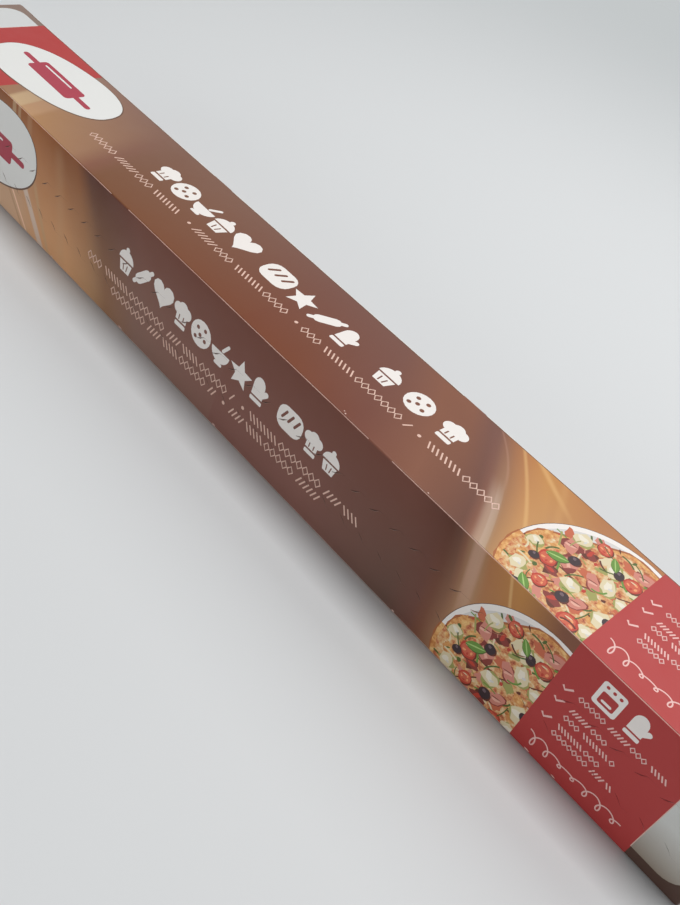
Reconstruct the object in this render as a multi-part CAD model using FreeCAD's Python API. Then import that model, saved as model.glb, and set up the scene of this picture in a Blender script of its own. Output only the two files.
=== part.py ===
"""Sealed carton that holds a roll of baking paper, 380 mm wide.

The carton is one die-cut blank of thin card, creased, folded round the roll and glued shut. It is full of
the roll and can't be seen into, so it is one solid. Outside it shows:

- four long folds, of which the lower front one lies behind the outer front panel;
- the outer front panel, glued over the inner front wall, with its raw edge just above the base;
- two rows of hooked tear cuts in that panel, with the tear strip between them;
- scores cut along the two top folds, broken by short bridges of whole card;
- at each end the side walls folded in, a flap up from the base and a flap down from the top, glued over it.

Frame: X along the carton, Y from front to back, Z up. The origin is the middle of the box at the base.
Sizes are in millimetres.
"""
import FreeCAD, Part
import math
import os

# The box
LENGTH = 387.0
DEPTH = 44.0
HEIGHT = 44.0
CARD = 0.45
FOLD_RADIUS = 0.7

# The outer front panel: how far its raw lower edge stays above the base
LAP_RISE = 1.1

# The end flaps: free height under the outer flap, and the side play and cut corner of both
OUTER_FLAP_RISE = 7.0
FLAP_PLAY = 0.7
FLAP_CORNER = 4.0

# The tear rows: drop of the upper row below the top, and width of the strip between the rows
UPPER_ROW_DROP = 17.2
STRIP_WIDTH = 14.6

# One hooked cut: a slant that starts inside the strip, then a flat along the row
CUT_PITCH = 8.1
SLANT_RUN = 3.2
SLANT_RISE = 2.3
FLAT_RUN = 3.9
CUT_WIDTH = 0.25
ROW_START = 9.0
ROW_END = 6.0

# The scores on the top folds, and the two bridges that break each of them
SCORE_WIDTH = 0.3
SCORE_DEPTH = 0.12
BRIDGE_LENGTH = 9.5
BRIDGE_SPACING = 123.5

# Spare length that lets a cutting tool start clear of the face it cuts, and the span that counts as none
CLEAR = 1.0
SAME_POINT = 1e-6

FRONT = -DEPTH / 2
BACK = DEPTH / 2
INNER_FRONT = FRONT + CARD
TUBE_END = LENGTH / 2 - 2 * CARD
INNER_FLAP_END = LENGTH / 2 - CARD

X = FreeCAD.Vector(1, 0, 0)
Y = FreeCAD.Vector(0, 1, 0)
Z = FreeCAD.Vector(0, 0, 1)


def outline_face(corners, place):
    """A flat face from (u, v, radius) corners; place turns (u, v) into a point. Radius 0 is a sharp corner."""
    edges = []
    starts = []
    ends = []
    count = len(corners)
    for i, (u, v, radius) in enumerate(corners):
        corner = FreeCAD.Vector(u, v, 0)
        to_last = (FreeCAD.Vector(*corners[i - 1][:2], 0) - corner).normalize()
        to_next = (FreeCAD.Vector(*corners[(i + 1) % count][:2], 0) - corner).normalize()
        starts.append(corner + to_last * radius)
        ends.append(corner + to_next * radius)
        if radius:
            centre = corner + (to_last + to_next) * radius
            middle = centre + (corner - centre).normalize() * radius
            arc_points = [place(p.x, p.y) for p in (starts[i], middle, ends[i])]
            edges.append(Part.Arc(*arc_points).toShape())
    for i in range(count):
        start, end = ends[i - 1], starts[i]
        if start.distanceToPoint(end) > SAME_POINT:
            edges.append(Part.makeLine(place(start.x, start.y), place(end.x, end.y)))
    return Part.Face(Part.Wire(Part.__sortEdges__(edges)))


def on_x_plane(x):
    return lambda y, z: FreeCAD.Vector(x, y, z)


def on_y_plane(y):
    return lambda x, z: FreeCAD.Vector(x, y, z)


def on_z_plane(z):
    return lambda x, y: FreeCAD.Vector(x, y, z)


def tube():
    """The four long walls as a block: its section, cut to a plan whose corners are the folded side walls."""
    section = outline_face([
        (INNER_FRONT, 0, FOLD_RADIUS),
        (BACK, 0, FOLD_RADIUS),
        (BACK, HEIGHT, FOLD_RADIUS),
        (FRONT, HEIGHT, FOLD_RADIUS),
        (FRONT, LAP_RISE, 0),
        (INNER_FRONT, LAP_RISE, 0),
    ], on_x_plane(-TUBE_END))
    plan = outline_face([
        (-TUBE_END, FRONT, FOLD_RADIUS),
        (TUBE_END, FRONT, FOLD_RADIUS),
        (TUBE_END, BACK, FOLD_RADIUS),
        (-TUBE_END, BACK, FOLD_RADIUS),
    ], on_z_plane(0))
    return section.extrude(X * 2 * TUBE_END).common(plan.extrude(Z * HEIGHT))


def end_flap(fold_z, free_z, outer_x, half_width):
    """A flap of the right-hand end, folded at fold_z and ending at free_z, with its free corners cut off."""
    away = math.copysign(1, free_z - fold_z)
    profile = outline_face([
        (TUBE_END, fold_z, 0),
        (outer_x, fold_z, min(FOLD_RADIUS, outer_x - TUBE_END)),
        (outer_x, free_z, 0),
        (TUBE_END, free_z, 0),
    ], on_y_plane(-half_width))
    corner = min(FLAP_CORNER, abs(free_z - fold_z) / 2, half_width / 2)
    outline = outline_face([
        (-half_width, fold_z, 0),
        (half_width, fold_z, 0),
        (half_width, free_z - away * corner, 0),
        (half_width - corner, free_z, 0),
        (corner - half_width, free_z, 0),
        (-half_width, free_z - away * corner, 0),
    ], on_x_plane(TUBE_END))
    return profile.extrude(Y * 2 * half_width).common(outline.extrude(X * (outer_x - TUBE_END)))


def end_flaps():
    """Both flaps of both ends. The left end is the right one turned half a turn about Z."""
    half_width = DEPTH / 2 - FLAP_PLAY
    inner = end_flap(0, OUTER_FLAP_RISE + FLAP_CORNER, INNER_FLAP_END, half_width - CARD - FOLD_RADIUS)
    outer = end_flap(HEIGHT, OUTER_FLAP_RISE, LENGTH / 2, half_width)
    flaps = []
    for turn in (0, 180):
        for flap in (inner, outer):
            turned = flap.copy()
            turned.rotate(FreeCAD.Vector(0, 0, 0), Z, turn)
            flaps.append(turned)
    return flaps


def hooked_cut(row_z, inward):
    """One cut of a row at the row's start: a ribbon of CUT_WIDTH through the outer front panel."""
    half = CUT_WIDTH / 2
    slope = math.atan2(SLANT_RISE, SLANT_RUN)
    across_u, across_v = half * math.sin(slope), half * math.cos(slope)
    mitre = half * math.tan(slope / 2)
    upright = [
        (-across_u, -SLANT_RISE + across_v),
        (SLANT_RUN - mitre, half),
        (SLANT_RUN + FLAT_RUN, half),
        (SLANT_RUN + FLAT_RUN, -half),
        (SLANT_RUN + mitre, -half),
        (across_u, -SLANT_RISE - across_v),
    ]
    start_x = -LENGTH / 2 + ROW_START
    corners = [(start_x + u, row_z - inward * v, 0) for u, v in upright]
    face = outline_face(corners, on_y_plane(FRONT - CLEAR))
    return face.extrude(Y * (CARD + CLEAR))


def tear_cuts():
    """The two rows of cuts. Their slants start inside the strip and lead out to the rows."""
    count = int((LENGTH - ROW_START - ROW_END - SLANT_RUN - FLAT_RUN) / CUT_PITCH) + 1
    upper_z = HEIGHT - UPPER_ROW_DROP
    first_cuts = [hooked_cut(upper_z, -1), hooked_cut(upper_z - STRIP_WIDTH, 1)]
    cuts = []
    for first in first_cuts:
        for i in range(count):
            cut = first.copy()
            cut.translate(X * CUT_PITCH * i)
            cuts.append(cut)
    return cuts


def fold_scores():
    """The scores cut from outside into the two top folds, in runs that stop at the bridges and the ends."""
    near = BRIDGE_SPACING / 2 - BRIDGE_LENGTH / 2
    far = BRIDGE_SPACING / 2 + BRIDGE_LENGTH / 2
    end = LENGTH / 2 - BRIDGE_LENGTH
    scores = []
    for side in (-1, 1):
        centre = FreeCAD.Vector(0, side * (DEPTH / 2 - FOLD_RADIUS), HEIGHT - FOLD_RADIUS)
        for start, stop in ((-end, -far), (-near, near), (far, end)):
            low = FreeCAD.Vector(start, -SCORE_WIDTH / 2, FOLD_RADIUS - SCORE_DEPTH)
            score = Part.makeBox(stop - start, SCORE_WIDTH, SCORE_DEPTH + CLEAR, low)
            score.rotate(FreeCAD.Vector(0, 0, 0), X, -side * 45)
            score.translate(centre)
            scores.append(score)
    return scores


def carton():
    closed = tube().fuse(end_flaps()).removeSplitter()
    return closed.cut(Part.makeCompound(tear_cuts() + fold_scores()))


os.makedirs("parts", exist_ok=True)
solid = carton().Solids[0]
solid.exportStep("parts/carton.step")
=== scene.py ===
"""Looks of the sealed carton that holds a roll of baking paper, made around its CAD solid.

Everything on the carton's skin is drawn flat first, in millimetres, on the card as it lies unfolded:

- x runs along the carton, from its middle;
- girth runs round it. It is 0 at the top front fold, grows over the top, down the back, under the base and up
  the inner front wall, and is below 0 on the outer front panel;
- out is the height over the card's face.

FoldedCard.wrap() folds what was drawn round the carton and gives its place in the frame.

Print is placed on a panel by x and by its drop, the distance below the panel's upper edge as it is read: the
back edge of the top, and the top edge of the front. Angles of print are in turns, from +x to larger drops.
"""
import math
import random
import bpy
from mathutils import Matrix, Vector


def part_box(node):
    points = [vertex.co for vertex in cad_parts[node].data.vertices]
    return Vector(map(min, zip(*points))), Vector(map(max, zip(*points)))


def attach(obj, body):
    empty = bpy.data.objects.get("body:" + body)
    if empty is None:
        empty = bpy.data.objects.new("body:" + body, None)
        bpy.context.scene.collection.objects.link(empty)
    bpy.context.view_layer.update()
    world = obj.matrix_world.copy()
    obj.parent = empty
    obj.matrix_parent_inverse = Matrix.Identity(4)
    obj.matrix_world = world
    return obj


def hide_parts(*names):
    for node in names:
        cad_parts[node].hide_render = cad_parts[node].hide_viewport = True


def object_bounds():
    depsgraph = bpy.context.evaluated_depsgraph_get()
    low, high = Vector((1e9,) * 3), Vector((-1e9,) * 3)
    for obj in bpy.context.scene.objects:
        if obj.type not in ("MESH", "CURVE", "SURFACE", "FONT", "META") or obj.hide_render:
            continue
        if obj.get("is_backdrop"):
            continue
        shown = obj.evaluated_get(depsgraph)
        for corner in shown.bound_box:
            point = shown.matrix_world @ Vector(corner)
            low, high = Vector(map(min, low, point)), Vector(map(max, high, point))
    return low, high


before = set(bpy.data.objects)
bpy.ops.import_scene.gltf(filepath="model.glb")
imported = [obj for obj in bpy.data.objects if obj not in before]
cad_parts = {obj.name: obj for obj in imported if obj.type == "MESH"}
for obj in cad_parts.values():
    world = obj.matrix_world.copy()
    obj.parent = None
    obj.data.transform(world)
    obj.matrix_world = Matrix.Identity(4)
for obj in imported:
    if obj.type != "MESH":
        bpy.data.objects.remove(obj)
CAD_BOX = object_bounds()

from types import SimpleNamespace
from typing import NamedTuple

import bmesh
import bpy
import numpy as np
from bpy.props import FloatProperty, FloatVectorProperty, IntProperty, PointerProperty
from mathutils import Matrix, Vector
from mathutils.geometry import delaunay_2d_cdt

bl_info = {
    "name": "Baking paper carton",
    "version": (1, 0, 0),
    "blender": (4, 5, 0),
    "location": "3D View > Sidebar > Carton",
    "description": "Makes the printed card, the end flaps and the tear rows of a sealed carton",
    "category": "Object",
}

MM = 0.001
NODE = "carton"
BODY = "root"
TURN = 2 * math.pi
SIDES = (-1, 1)
SAME_PLACE = 1e-4


# --- Settings ---

def length(name, description, millimetres):
    """A length that a user may change, given in millimetres."""
    return FloatProperty(name=name, description=description, default=millimetres * MM, min=0,
                         precision=5, unit="LENGTH")


def angle(name, description, degrees):
    return FloatProperty(name=name, description=description, default=math.radians(degrees), unit="ROTATION")


def share(name, description, default):
    return FloatProperty(name=name, description=description, default=default, min=0, subtype="FACTOR")


def power(name, description, watts):
    return FloatProperty(name=name, description=description, default=watts, min=0, unit="POWER")


def from_srgb(*levels):
    """A linear colour from three sRGB levels of 0 to 255."""
    shares = [level / 255 for level in levels]
    return tuple(s / 12.92 if s <= 0.04045 else ((s + 0.055) / 1.055) ** 2.4 for s in shares)


def colour(name, description, *levels):
    return FloatVectorProperty(name=name, description=description, default=from_srgb(*levels), size=3,
                               min=0, max=1, subtype="COLOR")


class CartonSizes(bpy.types.PropertyGroup):
    card_thickness: length("Card thickness", "Thickness of the folded card", 0.45)
    fold_radius: length("Fold radius", "Outer radius of a fold", 0.7)
    lap_rise: length("Lap rise", "Height of the outer front panel's raw edge over the base", 1.1)
    outer_flap_rise: length("Outer flap rise", "Height of the outer end flap's free edge", 7)
    inner_flap_reach: length("Inner flap reach", "Height that the inner end flap reaches", 11)
    flap_play: length("Flap play", "Gap between an end flap and the long sides", 0.7)
    flap_corner: length("Flap corner", "Size of a flap's cut corners", 4)
    score_width: length("Score width", "Width of the score on each top fold", 0.3)
    score_depth: length("Score depth", "Depth of the score on each top fold", 0.12)
    bridge_length: length("Bridge length", "Length of whole card between two scores", 9.5)
    bridge_spacing: length("Bridge spacing", "Distance between the two bridges of a fold", 123.5)
    skin_inset: length("Skin inset", "Depth of the skin behind the solid's faces", 0.06)
    mesh_step: length("Mesh step", "Distance between the points of the unprinted skin", 3)
    panel_wave: length("Panel wave", "Deepest hollow of a panel's slow waves", 0.22)
    edge_wave: length("Edge wave", "Height of the waves of the raw lower edge", 0.12)
    top_dip: length("Top dip", "How far the top folds sag between the ends", 0.12)


class PrintSizes(bpy.types.PropertyGroup):
    red_block_width: length("Red block width", "Width of each red block", 40.6)
    end_panel_width: length("End panel width", "Width of the framed panel at each end", 18)
    frame_at_end: length("Frame at the end", "Width of an end panel's frame along the carton's end", 3)
    frame_at_folds: length("Frame at the folds", "Width of an end panel's frame along the long folds", 3.4)
    window_corner: length("Window corner", "Corner radius of an end panel's window", 6.5)
    heading_height: length("Heading height", "Height of the pictograms in the heading", 10.4)
    mark_height: length("Mark height", "Height of a fine ornament mark", 3.3)
    mark_pitch: length("Mark pitch", "Distance between fine ornament marks", 2.8)
    mark_stroke: length("Mark stroke", "Stroke width of a fine ornament mark", 0.5)
    ink_thickness: length("Ink thickness", "Thickness of the raised fine ornament", 0.04)
    plate_radius: length("Plate radius", "Radius of the printed plate", 28.7)
    wear_width: length("Wear width", "Width of the worn line on a scored fold", 0.26)
    seed: IntProperty(name="Seed", description="Seed of the print's small irregularities", default=11, min=0)


class InkColours(bpy.types.PropertyGroup):
    red: colour("Red", "Solid red of the two blocks", 177, 59, 57)
    white: colour("White", "Unprinted white", 230, 230, 227)
    heading: colour("Heading", "Warm white of the heading", 239, 233, 228)
    badge_red: colour("Badge red", "Crimson pictogram of the badge", 172, 62, 78)
    fine_line: colour("Fine line", "Pinkish beige of the fine ornament", 226, 190, 174)
    red_block_line: colour("Red block line", "Pale pink of the lines on the red blocks", 232, 190, 184)
    shade: colour("Shade", "Dark edge under badge and plate", 104, 76, 60)
    bare_card: colour("Bare card", "Inside of the card where it is cut or worn", 216, 184, 172)


class TearSizes(bpy.types.PropertyGroup):
    upper_row_drop: length("Upper row drop", "Drop of the upper row below the top", 17.2)
    strip_width: length("Strip width", "Distance between the two rows", 14.6)
    pitch: length("Pitch", "Distance between cuts", 8.1)
    slant_run: length("Slant run", "Length of a cut's slant along the row", 3.2)
    slant_rise: length("Slant rise", "Height of a cut's slant", 2.3)
    flat_run: length("Flat run", "Length of a cut's flat", 3.9)
    cut_width: length("Cut width", "Width of a cut where it is widest", 0.3)
    row_start: length("Row start", "Distance of the first cut from the left end", 9)
    row_end: length("Row end", "Least distance of the last cut from the right end", 6)
    lip_width: length("Lip width", "Width of the lifted card edge beside a cut", 0.1)
    tail_share: share("Tail", "Width of a cut's far end as a share of its widest", 0.05)


class StudioSettings(bpy.types.PropertyGroup):
    azimuth: angle("Azimuth", "Direction that the camera looks from, 0 for the front", 30.46)
    elevation: angle("Elevation", "Height that the camera looks from", 40.28)
    roll: angle("Roll", "Turn of the camera about its own axis", 23.55)
    distance: length("Distance", "Distance of the camera from the point that it looks at", 303.3)
    aim_x: length("Aim along", "Point that the camera looks at, from the carton's middle", 44.3)
    aim_front: length("Aim forward", "Point that the camera looks at, forward of the carton's middle", 11.4)
    lens: FloatProperty(name="Lens", description="Focal length", default=40.2, min=1, unit="CAMERA")
    floor_colour: colour("Floor", "Pale floor", 216, 218, 219)
    floor_fades: length("Floor fades", "Distance at which the floor starts to fade into the backdrop", 240)
    floor_faded: length("Floor faded", "Distance at which the floor has the backdrop's colour", 760)
    backdrop_colour: colour("Backdrop", "Pale backdrop that the floor runs into", 196, 200, 201)
    sky_strength: share("Sky strength", "Light from all round", 0.22)
    lamp_power: power("Lamp power", "Power of the overhead soft light", 8.6)
    back_power: power("Back power", "Power of the soft light behind", 4.4)
    fill_power: power("Fill power", "Power of the low soft light in front", 3.65)


PROPERTY_GROUPS = {
    "carton_sizes": CartonSizes,
    "carton_print": PrintSizes,
    "carton_inks": InkColours,
    "carton_tear": TearSizes,
    "carton_studio": StudioSettings,
}


def setting_items(group):
    """A group's own properties."""
    return [item for item in group.bl_rna.properties if item.identifier not in ("rna_type", "name")]


def settings(group_name):
    """A group's values, with its lengths in the millimetres that the card is drawn in."""
    group = getattr(bpy.context.scene, group_name)
    values = SimpleNamespace()
    for item in setting_items(group):
        value = getattr(group, item.identifier)
        is_length = getattr(item, "unit", "NONE") == "LENGTH"
        setattr(values, item.identifier, value / MM if is_length else value)
    return values


# --- The folded card ---

# Slow waves along the card as (wavelength, height, shift, further shift for each panel)
PANEL_WAVES = ((163, 1, 0, 1.7), (71, 0.6, 1, 2.9))
EDGE_WAVES = ((47, 0.3, 0.6, 0), (13.3, 0.2, 0, 0))
EDGE_WAVE_FADES = 3


def waves(x, parts, panel=0):
    return sum(height * np.sin(x * TURN / wavelength + further * panel + shift)
               for wavelength, height, shift, further in parts)


class Panel(NamedTuple):
    """A printed panel: the girth of its upper edge, its height and the ink of its ground."""
    upper: float
    tall: float
    field: str = "field_plain"

    def girth(self, drop):
        return self.upper - drop


class FoldedCard:
    """The carton's skin. wrap() turns points of the flat card into places on the folded carton."""

    def __init__(self, sizes):
        low, high = (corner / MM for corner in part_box(NODE))
        self.sizes = sizes
        self.front, self.back = low.y + sizes.skin_inset, high.y - sizes.skin_inset
        self.base, self.top = low.z + sizes.skin_inset, high.z - sizes.skin_inset
        self.outer_end = high.x
        self.end = high.x - 2 * sizes.card_thickness
        self.depth = self.back - self.front
        self.height = self.top - self.base
        inner_front = self.front + sizes.card_thickness
        lap = low.z + sizes.lap_rise
        self.lowest_girth = lap - self.top
        corners = [
            (self.front, lap), (self.front, self.top), (self.back, self.top), (self.back, self.base),
            (inner_front, self.base), (inner_front, lap), (self.front, lap),
        ]
        self.runs = []
        girth = self.lowest_girth
        for (y0, z0), (y1, z1) in zip(corners, corners[1:]):
            run = math.hypot(y1 - y0, z1 - z0)
            self.runs.append((girth, run, y0, z0, (y1 - y0) / run, (z1 - z0) / run))
            girth += run
        self.highest_girth = girth
        self.inner_front_girth = self.runs[4][0]
        self.raw_edge_girth = self.runs[5][0]
        self.top_panel = Panel(self.depth, self.depth, "field_across")
        self.front_panel = Panel(0, -self.lowest_girth, "field_down")
        self.back_panel = Panel(self.depth + self.height, self.height)
        self.base_panel = Panel(self.inner_front_girth, self.runs[3][1])

    def folds(self):
        """Each rounded fold: its girth, its corner and the outward directions before and after it."""
        for before, after in zip(self.runs[:4], self.runs[1:5]):
            yield after[0], after[2], after[3], (-before[5], before[4]), (-after[5], after[4])

    def section(self, girth):
        """Places and outward directions, in the carton's section, of points at these girths."""
        place = np.zeros(girth.shape + (2,))
        outward = np.zeros(girth.shape + (2,))
        for number, (start, _, y0, z0, dy, dz) in enumerate(self.runs):
            here = (girth >= start) | (number == 0)
            place[here] = np.stack([y0 + (girth - start) * dy, z0 + (girth - start) * dz], -1)[here]
            outward[here] = (-dz, dy)
        radius = self.sizes.fold_radius
        for at, y, z, first, second in self.folds():
            here = np.abs(girth - at) < radius
            turn = (girth[here] - at + radius) / (2 * radius) * math.pi / 2
            normal = np.cos(turn)[:, None] * np.array(first) + np.sin(turn)[:, None] * np.array(second)
            centre = np.array((y, z)) - radius * (np.array(first) + np.array(second))
            place[here] = centre + radius * normal
            outward[here] = normal
        return place, outward

    def hollow(self, x, girth):
        """How deep a point lies in the slow waves of its panel."""
        deep = np.zeros(np.broadcast(x, girth).shape)
        highest = sum(height for _, height, *_ in PANEL_WAVES)
        for number, (start, run, *_) in enumerate(self.runs[:4]):
            across = np.clip((girth - start) / run, 0, 1)
            slow = waves(x, PANEL_WAVES, number)
            deep += np.sin(across * math.pi) ** 2 * (highest + slow) / (2 * highest)
        return deep * self.sizes.panel_wave

    def score_runs(self):
        """Each scored stretch of a top fold: they stop at the bridges and short of the ends."""
        sizes = self.sizes
        near = (sizes.bridge_spacing - sizes.bridge_length) / 2
        far = (sizes.bridge_spacing + sizes.bridge_length) / 2
        stop = self.outer_end - sizes.bridge_length
        return (-stop, -far), (-near, near), (far, stop)

    def groove(self, x, girth):
        """How deep a point lies in the scores of the two top folds."""
        half = self.sizes.score_width / 2
        deep = sum(np.clip(1 - np.abs(girth - at) / half, 0, 1) for at in (0, self.depth))
        scored = sum((x > start) & (x < stop) for start, stop in self.score_runs())
        return deep * self.sizes.score_depth * scored

    def dip(self, x):
        """Sag of the top at x: none at the ends, with a small hollow at the right-hand bridge."""
        along = np.clip(np.abs(x) / self.end, 0, 1)
        bridge = np.exp(-((x - self.sizes.bridge_spacing / 2) / self.sizes.bridge_length) ** 2)
        return self.sizes.top_dip * (1 - along ** 4) * (0.8 + 0.2 * bridge)

    def edge_lift(self, x, girth):
        """Lift of the raw lower edge in its small waves, which fade up the panel."""
        above = np.exp(-(girth - self.lowest_girth) / EDGE_WAVE_FADES)
        on_edge = np.clip((girth - self.raw_edge_girth) / (self.highest_girth - self.raw_edge_girth), 0, 1)
        return self.sizes.edge_wave * (0.5 + waves(x, EDGE_WAVES)) * (above + on_edge)

    def wrap(self, x, girth, out=0.0):
        """Places on the carton, in millimetres, of flat points."""
        x, girth, out = np.broadcast_arrays(np.asarray(x, float), np.asarray(girth, float), out)
        place, outward = self.section(girth)
        deep = self.hollow(x, girth) + self.groove(x, girth) - out
        y = place[..., 0] - outward[..., 0] * deep
        z = place[..., 1] - outward[..., 1] * deep + self.edge_lift(x, girth)
        radius = self.sizes.fold_radius
        past = np.clip(np.abs(x) - (self.end - radius), 0, radius)
        pulled_in = radius - np.sqrt(radius ** 2 - past ** 2)
        y = y * (1 - pulled_in / (self.depth / 2))
        z = self.base + (z - self.base) * (1 - self.dip(x) / self.height)
        return np.stack([x, y, z], -1)

    def normals(self, x, girth):
        """Outward directions of the wrapped skin at flat points."""
        step = 1e-4
        along = self.wrap(x + step, girth) - self.wrap(x - step, girth)
        around = self.wrap(x, girth + step) - self.wrap(x, girth - step)
        normal = np.cross(along, around)
        return normal / np.linalg.norm(normal, axis=-1, keepdims=True)


# --- Outlines: closed lists of (x, drop), in millimetres ---

def polar(centre, radius, angle, squash=1.0):
    """The point at a radius from a centre, in the direction of an angle in radians."""
    return centre[0] + radius * math.cos(angle), centre[1] + radius * squash * math.sin(angle)


def moved(points, centre, tilt=0.0):
    """Points about (0, 0), tilted and then moved to a centre."""
    c, s = math.cos(tilt * TURN), math.sin(tilt * TURN)
    return [(centre[0] + x * c - v * s, centre[1] + x * s + v * c) for x, v in points]


def arc(centre, radius, start, stop, count, squash=1.0):
    angles = [TURN * (start + (stop - start) * i / count) for i in range(count + 1)]
    return [polar(centre, radius, angle, squash) for angle in angles]


def disc(centre, radius, squash=1.0, tilt=0.0, count=20, fullness=1.0):
    """A circle, or an oval that is squashed across and then tilted. A fullness below 1 makes fuller ends."""
    def fuller(share):
        return math.copysign(abs(share) ** fullness, share) * radius

    rim = arc((0, 0), 1, 0, 1 - 1 / count, count - 1)
    return moved([(fuller(x), fuller(v) * squash) for x, v in rim], centre, tilt)


def blob(centre, radius, wobble, chance, count=14, squash=1.0):
    """A round shape with an uneven edge."""
    tilt = chance.random()
    rim = [polar((0, 0), radius * (1 + wobble * chance.uniform(-1, 1)), TURN * i / count, squash)
           for i in range(count)]
    return moved(rim, centre, tilt)


def bar(start, end, width, ends=5):
    """A straight stroke with round ends."""
    heading = math.atan2(end[1] - start[1], end[0] - start[0]) / TURN
    return (arc(end, width / 2, heading - 0.25, heading + 0.25, ends)
            + arc(start, width / 2, heading + 0.25, heading + 0.75, ends))


def ribbon(points, width):
    """A stroke of even width along a line of points."""
    left, right = [], []
    for i, (x, v) in enumerate(points):
        x0, v0 = points[max(i - 1, 0)]
        x1, v1 = points[min(i + 1, len(points) - 1)]
        run = math.hypot(x1 - x0, v1 - v0)
        across_x, across_v = -(v1 - v0) / run * width / 2, (x1 - x0) / run * width / 2
        left.append((x + across_x, v + across_v))
        right.append((x - across_x, v - across_v))
    return left + right[::-1]


def leaf_shape(start, end, width, count=6):
    """A pointed leaf from start to end."""
    run = math.hypot(end[0] - start[0], end[1] - start[1])
    ux, uv = (end[0] - start[0]) / run, (end[1] - start[1]) / run
    left, right = [], []
    for i in range(1, count):
        along = i / count
        half = width / 2 * math.sin(along * math.pi) ** 0.8
        x, v = start[0] + ux * run * along, start[1] + uv * run * along
        left.append((x - uv * half, v + ux * half))
        right.append((x + uv * half, v - ux * half))
    return [start] + left + [end] + right[::-1]


def box_shape(x0, x1, v0, v1, radius=0.0):
    """A rectangle, with rounded corners if radius isn't 0."""
    if not radius:
        return [(x0, v0), (x1, v0), (x1, v1), (x0, v1)]
    left, right, upper, lower = x0 + radius, x1 - radius, v0 + radius, v1 - radius
    centres = ((right, lower), (left, lower), (left, upper), (right, upper))
    return [point for i, centre in enumerate(centres)
            for point in arc(centre, radius, i * 0.25, i * 0.25 + 0.25, 4)]


def star_shape(centre, reach, inner):
    return [polar(centre, inner if i % 2 else reach, TURN * (i / 10 - 0.25)) for i in range(10)]


def heart_shape(centre, size, count=22):
    """A heart drawn by the usual sum of cosines, which is 32 wide."""
    points = []
    for i in range(count):
        t = TURN * i / count
        x = 16 * math.sin(t) ** 3
        v = -(13 * math.cos(t) - 5 * math.cos(2 * t) - 2 * math.cos(3 * t) - math.cos(4 * t))
        points.append((centre[0] + x * size / 32, centre[1] + v * size / 32))
    return points


def clipped(outline, x0, x1, v0, v1):
    """The part of an outline inside a rectangle."""
    for axis, limit, side in ((0, x0, 1), (0, x1, -1), (1, v0, 1), (1, v1, -1)):
        kept = []
        for i, point in enumerate(outline):
            last = outline[i - 1]
            inside, last_inside = ((p[axis] - limit) * side >= 0 for p in (point, last))
            if inside != last_inside:
                part = (limit - last[axis]) / (point[axis] - last[axis])
                kept.append((last[0] + (point[0] - last[0]) * part, last[1] + (point[1] - last[1]) * part))
            if inside:
                kept.append(point)
        outline = kept
    return outline


# --- Pictograms of baking tools, about 10 high. Their layers print the ink and the ground by turns ---

def discs(centres, radius):
    return [disc(centre, radius, count=10) for centre in centres]


PICTOGRAMS = {
    "rolling_pin": [[bar((-4, 4), (4, -4), 1.5), bar((-1.9, 1.9), (1.9, -1.9), 3.6)]],
    "chef_hat": [
        [disc((-2.3, -1.8), 2.2), disc((0, -2.7), 2.4), disc((2.3, -1.8), 2.2),
         box_shape(-2.7, 2.7, -1.8, 2.6), box_shape(-2.7, 2.7, 3.3, 5, 0.5)],
        [bar((-1.1, 0.4), (-1.1, 2.0), 0.5), bar((1.1, 0.4), (1.1, 2.0), 0.5)],
    ],
    "cupcake": [
        [arc((0, 0.2), 4.1, 0.5, 1.0, 12, 0.95), disc((0, -4.1), 1.0),
         [(-3.4, 0.9), (3.4, 0.9), (2.4, 5), (-2.4, 5)]],
        [bar((-1.1, 2.0), (-0.8, 4.2), 0.5), bar((1.1, 2.0), (0.8, 4.2), 0.5)],
    ],
    "loaf": [
        [box_shape(-4.3, 4.3, -2.9, 3.9, 2.6)],
        [bar((-2.7, 0.9), (-1.6, -1.3), 0.7), bar((-0.5, 0.9), (0.6, -1.3), 0.7),
         bar((1.7, 0.9), (2.8, -1.3), 0.7)],
    ],
    "star": [[star_shape((0, 0.3), 5, 2.3)]],
    "heart": [[heart_shape((0, -0.3), 9)]],
    "mixing_bowl": [
        [arc((0, -0.6), 4.4, 0, 0.5, 14), bar((-1.3, 4.3), (1.3, 4.3), 1.3),
         bar((0.9, -1.4), (2.9, -4.4), 1.2)],
    ],
    "mitt": [
        [disc((-0.5, -1.9), 2.6, 1.2), box_shape(-3.1, 2.1, -1.9, 2.7), bar((1.4, 0.9), (3.1, -0.9), 2.0),
         box_shape(-3.3, 2.3, 3.4, 5, 0.5)],
    ],
    "biscuit": [
        [disc((0, 0), 4.5)],
        discs(((-1.7, -1.5), (1.5, -2.0), (2.1, 1.4), (-0.3, 0.5), (-2.1, 2.0)), 0.7),
    ],
    "oven": [
        [box_shape(-4.3, 4.3, -5, 5, 1.1)], [box_shape(-2.9, 2.9, -1.3, 3.6, 0.7)],
        [bar((-1.4, 2.2), (1.4, 2.2), 1.0)], discs(((-2.4, -3.3), (0, -3.3), (2.4, -3.3)), 0.62),
    ],
    "long_rolling_pin": [
        [bar((-21, 0), (21, 0), 2.4), box_shape(-13.5, 13.5, -4.6, 4.6, 1.6)],
        [bar((-10.6, -2.3), (6.5, -2.3), 0.8)],
    ],
    "tick": [[ribbon([(-1.4, -0.1), (-0.4, 0.9), (1.5, -1.0)], 0.62)]],
}

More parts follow.
